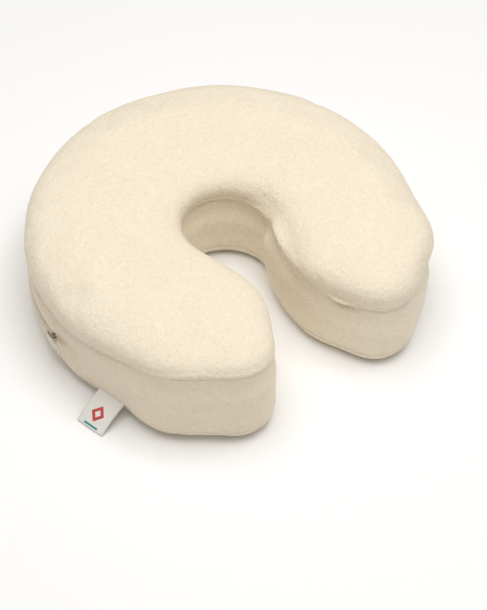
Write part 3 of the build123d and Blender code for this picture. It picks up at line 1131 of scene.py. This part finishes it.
weave = both(maths(tree, "SINE", both(u_at, 300.0)), maths(tree, "SINE", both(v_at, 700.0)))
cloth = mix_colours(tree, spread(tree, weave, -1.0, 1.0), (0.74, 0.72, 0.67, 1),
                    (0.88, 0.86, 0.81, 1))
diamond = maths(tree, "ADD", apart(u_at, 0.5), both(apart(v_at, 0.26), 2.3))
diamond_red = maths(tree, "LESS_THAN", diamond, 0.24)
diamond_hollow = maths(tree, "LESS_THAN", diamond, 0.11)
bar = both(inside(u_at, 0.5, 0.26), inside(v_at, 0.41, 0.012))
marked = mix_colours(tree, diamond_red, cloth, (0.55, 0.06, 0.05, 1))
marked = mix_colours(tree, diamond_hollow, marked, (0.82, 0.80, 0.75, 1))
marked = mix_colours(tree, bar, marked, (0.05, 0.28, 0.30, 1))
fill(tree, shader, Base_Color=marked, Normal=bumped(tree, weave, 0.25, 0.08 * MM),
     Roughness=0.55)
dress(label, ribbon_stuff)
print("ribbon has", len(tree.nodes), "nodes")

# %% [markdown]
# ## Hook strips
# Three patches of hook tape under the cushion grip the face frame. Each is a thin woven
# slab sewn to the underside with hundreds of tiny bent hooks beneath. The same row
# builder sets the hooks, one line of edges for each row of the tape.

# %% Make one hook
HOOK_STEP, HOOK_TALL, HOOK_HALF = 1.9 * MM, 0.82 * MM, 0.11
HOOK_PATH = ((0.0, 0.06), (0.0, -0.45), (0.10, -0.80), (0.34, -0.84), (0.44, -0.62))

one_hook = wire_item("hook_item", HOOK_PATH, [HOOK_HALF] * len(HOOK_PATH), 4, 1.0,
                     lambda at: Vector((at.x, -at.z, at.y)) * HOOK_TALL)
print("a hook has", len(one_hook.data.polygons), "faces")

# %% [markdown]
# ## Fitting the tape
# Each strip's slab is the solid's own outline, raised to leave room for the hooks, and let
# a little into the cloth above. Its hooks stand in rows, one line of edges for each, and a
# wobble turns them a little, because moulded hooks are never quite in line.

# %% Fit the hook strips
SLAB_Z, SLAB_SUNK, SIDE_MARGIN, END_MARGIN = 0.85 * MM, 0.5 * MM, 3 * MM, 2 * MM

hook_stuff, *_ = mottled("hook tape", 500.0, (0.76, 0.73, 0.66, 1), (0.88, 0.86, 0.80, 1), 0.5)
for place in ("rear", "left", "right"):
    node_name = "hook_strip_" + place
    low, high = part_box(node_name)
    slab = merged_copy("hook_slab_" + place, node_name)
    slab_points = points_of(slab.data)
    slab_points[slab_points[:, 2] < SLAB_Z, 2] = SLAB_Z
    slab_points[slab_points[:, 2] > SLAB_Z + 0.1 * MM, 2] = high.z + SLAB_SUNK
    put_points(slab.data, slab_points)
    dress(slab, hook_stuff)
    settle(slab, node_name)
    verts, edges = [], []
    count = int((high.y - low.y - 2 * END_MARGIN) / HOOK_STEP)
    for k in range(count + 1):
        y = low.y + END_MARGIN + k * HOOK_STEP
        verts += [(low.x + SIDE_MARGIN, y, SLAB_Z), (high.x - SIDE_MARGIN, y, SLAB_Z)]
        edges.append((2 * k, 2 * k + 1))
    mesh = bpy.data.meshes.new("hook_rows_" + place)
    mesh.from_pydata(verts, edges, [])
    hooks = along_line("hooks_" + place, mesh, Item=one_hook, Spacing=HOOK_STEP,
                       Wobble=0.12, Seed=17, Material=hook_stuff)
    settle(hooks)
    low_z = min(v.co.z for v in hooks.data.vertices)
    print(hooks.name, len(hooks.data.polygons), "faces, lowest", round(low_z / MM, 2), "mm")

# %% [markdown]
# ## Open-cell foam
# The foam shows only when the cover is off. Its cut face is a froth of tiny cells, which a
# Voronoi pattern gives: pale on the walls between them, and darker in the cells' middles as
# painted shade in the open pores. The soft layer is the yellower one.

# %% Dress the foam
for piece, pale, painted_pore_shade in ((soft_foam, (0.93, 0.88, 0.70, 1), (0.80, 0.73, 0.52, 1)),
                          (firm_foam, (0.80, 0.74, 0.62, 1), (0.66, 0.60, 0.49, 1))):
    foam_stuff, tree, shader = new_material(piece.name + "_open_cells")
    cells = add_node(tree, "ShaderNodeTexVoronoi", {"feature": "F1"},
                     Vector=object_place(tree), Scale=900.0)
    cell = cells.outputs["Distance"]
    # the darker colour in each cell's middle is painted shade in the pore, not the foam's own
    # colour
    fill(tree, shader, Base_Color=mix_colours(tree, cell, painted_pore_shade, pale), Roughness=0.9,
         Normal=bumped(tree, cell, 0.6, 0.4 * MM))
    dress(piece, foam_stuff)
print("foam dressed")

# %% [markdown]
# ## Light and floor
# A product like this is shot on white under one big soft light above, with a smaller card
# that fills the shadows from the right. The floor is a plain pale plane, and a faint warm
# sky stands in for the room's white walls.

# %% Light the set
def area_light(name, size, power, offset):
    """A square soft light, this far from the back's centre and turned towards it."""
    light = bpy.data.lights.new(name, "AREA")
    light.size, light.energy = size, power
    lamp = bpy.data.objects.new(name, light)
    lamp.location = back_centre + Vector(offset)
    lamp.rotation_euler = (back_centre - lamp.location).to_track_quat("-Z", "Y").to_euler()
    bpy.context.scene.collection.objects.link(lamp)


area_light("key", 1.3, 18.4, (-0.08, -0.05, 1.6))
area_light("card", 0.8, 3.8, (0.45, -0.4, 1.4))
world = bpy.data.worlds.new("white room")
bpy.context.scene.world = world
world.use_nodes = True
fill(world.node_tree, world.node_tree.nodes["Background"],
     Color=(1, 0.97, 0.93, 1), Strength=0.355)
bpy.context.scene.view_settings.view_transform = "Standard"

floor_mesh = bpy.data.meshes.new("floor")
floor_mesh.from_pydata([(-4, -4, 0), (4, -4, 0), (4, 4, 0), (-4, 4, 0)], [], [(0, 1, 2, 3)])
floor = link("floor", floor_mesh)
paper, tree, shader = new_material("white paper")
fill(tree, shader, Base_Color=(0.95, 0.95, 0.95, 1), Roughness=0.9)
dress(floor, paper)
floor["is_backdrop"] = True
print(len(bpy.data.lights), "lights over a", round(floor.dimensions.x), "m floor")

# %% [markdown]
# ## The finished size
# Last, the solid model's box and the box of everything shown are printed side by side.

# %% Write the sizes
visual_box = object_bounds()
for name, box in (("solid", cad_box), ("shown", visual_box)):
    print(name, [round((box[1][k] - box[0][k]) / MM, 1) for k in range(3)], "mm")
